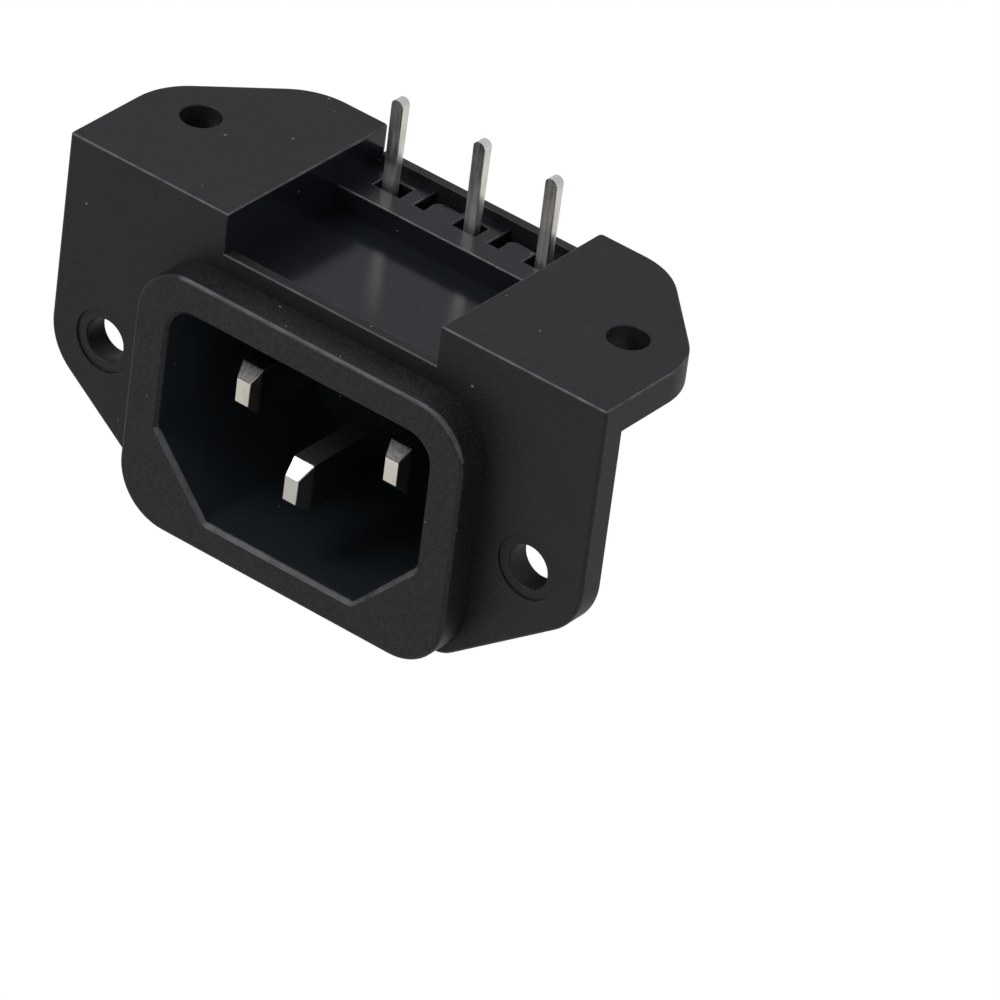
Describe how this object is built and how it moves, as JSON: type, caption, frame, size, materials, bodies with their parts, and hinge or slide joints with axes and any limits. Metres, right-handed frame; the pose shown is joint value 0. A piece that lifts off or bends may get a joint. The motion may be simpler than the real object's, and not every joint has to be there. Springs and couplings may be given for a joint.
{
  "type": "panel inlet socket",
  "caption": "Rectangular mains inlet socket with an eared panel flange, a deep recess around contact blades, board-mounting feet, solder legs and a rear earth tag.",
  "frame": {"origin": "midway between the two panel screw holes, on the flange's front face", "axes": "+X to the right seen from the front, +Y into the equipment, +Z the way the solder legs point"},
  "size_m": [0.05, 0.0268, 0.0313],
  "materials": {
    "housing_plastic": "satin moulding, glossy in the trough and recess",
    "cover_plastic": "satin",
    "blade_plating": "bright nickel plating",
    "terminal_plating": "bright tin plating"
  },
  "bodies": {
    "root": {"housing": "housing_plastic", "rear_cover": "cover_plastic", "line_blade": "blade_plating", "neutral_blade": "blade_plating", "earth_blade": "blade_plating", "line_terminal": "terminal_plating", "neutral_terminal": "terminal_plating", "earth_terminal": "terminal_plating"}
  },
  "joints": []
}
